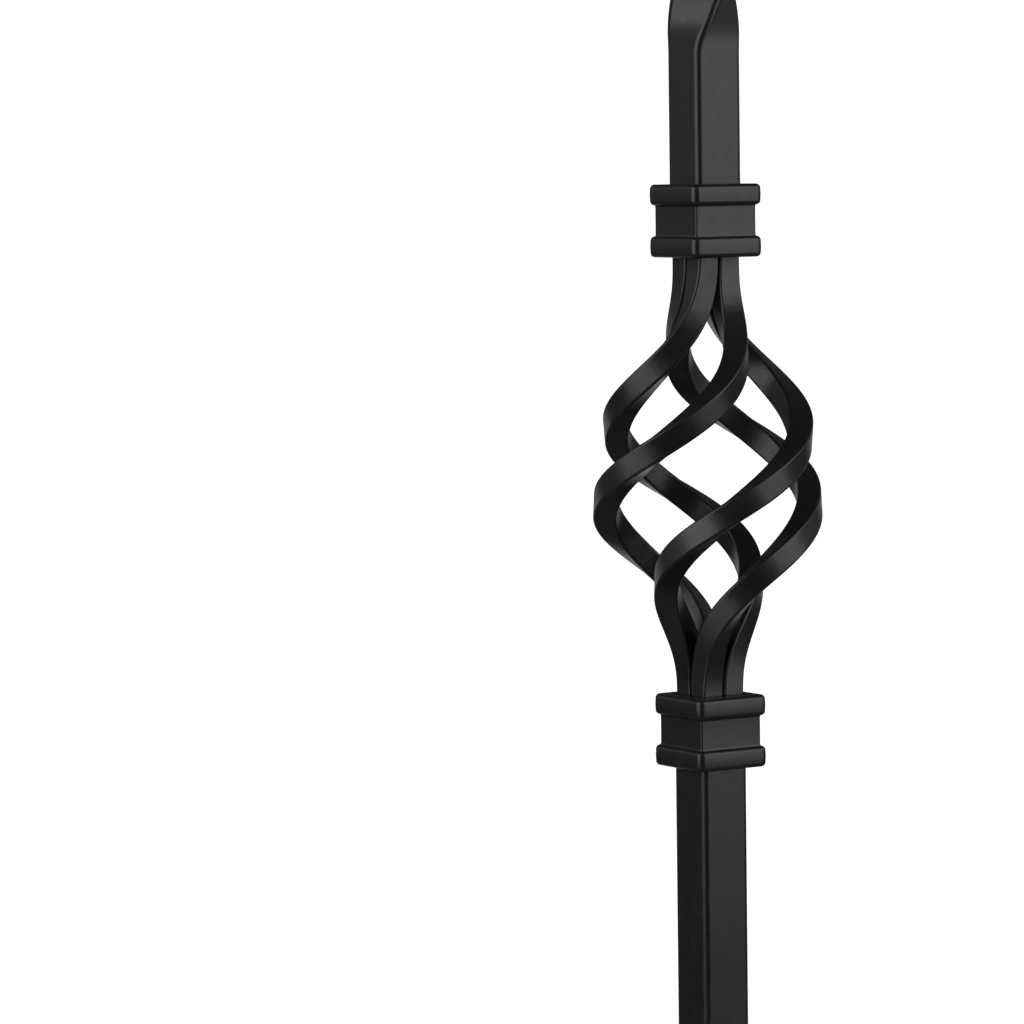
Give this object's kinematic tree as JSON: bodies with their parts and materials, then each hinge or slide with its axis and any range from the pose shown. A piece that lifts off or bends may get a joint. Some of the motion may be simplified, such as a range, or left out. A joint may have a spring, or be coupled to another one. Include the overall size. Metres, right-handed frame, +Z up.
{
  "type": "stair baluster",
  "caption": "Square iron stair baluster with turned basket sections, a twisted stretch between them, beaded square collars and a round dowel at the top.",
  "frame": {"origin": "centre of the lower end's flat face, on the bar's axis", "axes": "+Z up along the bar's axis to the dowel; the lower bar's faces are square to X and Y"},
  "size_m": [0.057, 0.057, 1.1176],
  "materials": {
    "black_coating": "satin black powder coat with a very fine texture"
  },
  "bodies": {
    "root": {"bottom_bar": "black_coating", "twisted_bar": "black_coating", "top_bar": "black_coating", "lower_basket_rod_1": "black_coating", "lower_basket_rod_2": "black_coating", "lower_basket_rod_3": "black_coating", "lower_basket_rod_4": "black_coating", "upper_basket_rod_1": "black_coating", "upper_basket_rod_2": "black_coating", "upper_basket_rod_3": "black_coating", "upper_basket_rod_4": "black_coating", "lower_basket_bottom_collar": "black_coating", "lower_basket_top_collar": "black_coating", "upper_basket_bottom_collar": "black_coating", "upper_basket_top_collar": "black_coating"}
  },
  "joints": []
}
